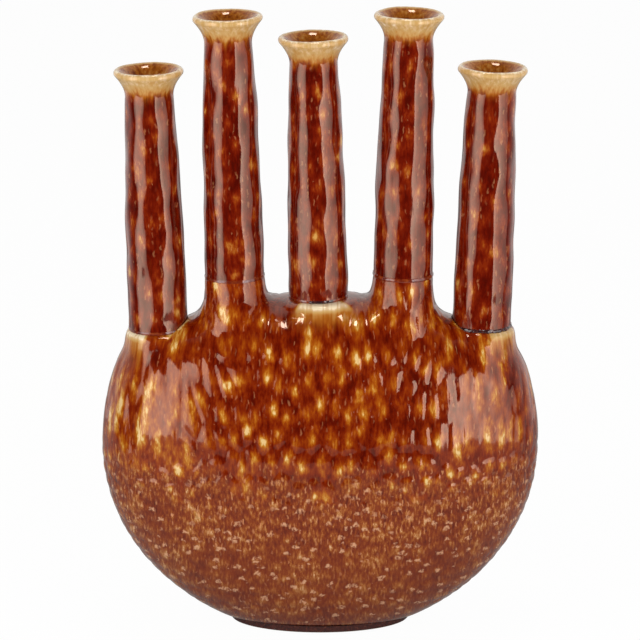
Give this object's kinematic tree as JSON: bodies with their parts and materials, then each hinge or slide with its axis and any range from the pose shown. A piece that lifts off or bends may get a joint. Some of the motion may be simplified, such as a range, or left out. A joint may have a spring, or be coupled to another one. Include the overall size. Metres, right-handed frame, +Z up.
{
  "type": "multi-neck flower vase",
  "caption": "Stoneware flower vase with a round, flattened belly on an oval foot and a row of slender flared necks, each for one stem",
  "frame": {"origin": "middle of the foot's resting face, at the bottom of the bounding box", "axes": "+Z up, +X to the right as seen from the front, -Y out of the front"},
  "size_m": [0.2114, 0.094, 0.3012],
  "materials": {
    "belly_glaze": "glossy amber breaking glaze",
    "neck_glaze": "glossy amber breaking glaze, pale honey on the lip",
    "joint_slip": "glazed slip line",
    "foot_glaze": "dark glazed side, bare fired clay below"
  },
  "bodies": {
    "root": {"belly": "belly_glaze", "foot_ring": "foot_glaze", "neck_outer_left": "neck_glaze", "neck_inner_left": "neck_glaze", "neck_middle": "neck_glaze", "neck_inner_right": "neck_glaze", "neck_outer_right": "neck_glaze", "slip_ring_outer_left": "joint_slip", "slip_ring_inner_left": "joint_slip", "slip_ring_middle": "joint_slip", "slip_ring_inner_right": "joint_slip", "slip_ring_outer_right": "joint_slip"}
  },
  "joints": []
}
